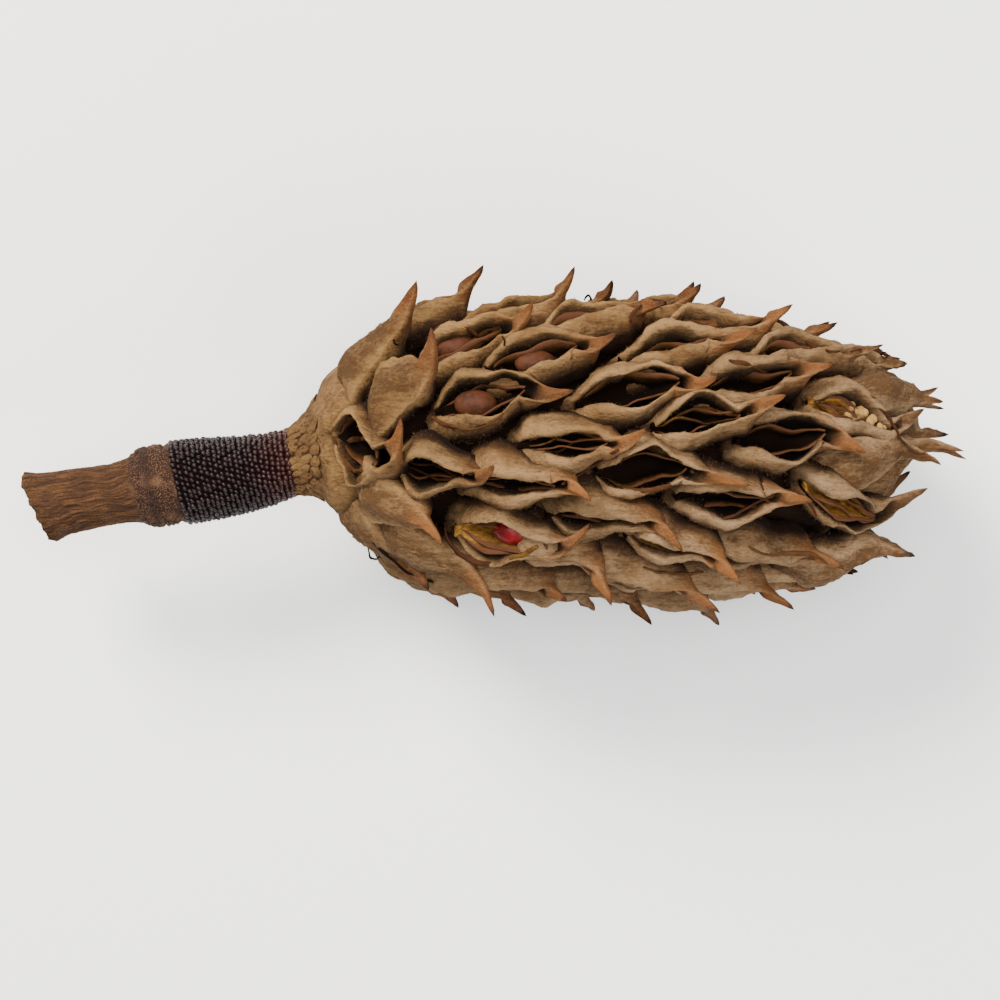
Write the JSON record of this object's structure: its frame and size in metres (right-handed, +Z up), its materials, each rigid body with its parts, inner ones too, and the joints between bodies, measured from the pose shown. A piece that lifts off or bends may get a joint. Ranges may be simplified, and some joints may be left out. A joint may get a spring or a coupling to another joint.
{
  "type": "magnolia seed pod",
  "caption": "Dry magnolia seed pod lying on its side: felted split follicles with hooked beaks, a beaded dark collar and a cut ribbed stalk.",
  "frame": {"origin": "on the surface the pod lies on, under the middle of its bounding box", "axes": "+X along the pod from the cut stalk towards its tip, +Z up from the surface"},
  "size_m": [0.1296, 0.0499, 0.0495],
  "materials": {
    "felt": "dull tan felt over woody follicles",
    "collar": "dark purple-brown, slightly glossy beads",
    "stalk": "dull orange-brown with fine lengthwise ribs",
    "red_seed": "waxy red seed coat",
    "dried_seed": "dry brown seed coat"
  },
  "bodies": {
    "root": {"follicle_cone": "felt", "stamen_collar": "collar", "stalk": "stalk", "red_seed": "red_seed", "dried_seed_1": "dried_seed", "dried_seed_2": "dried_seed", "dried_seed_3": "dried_seed"}
  },
  "joints": []
}
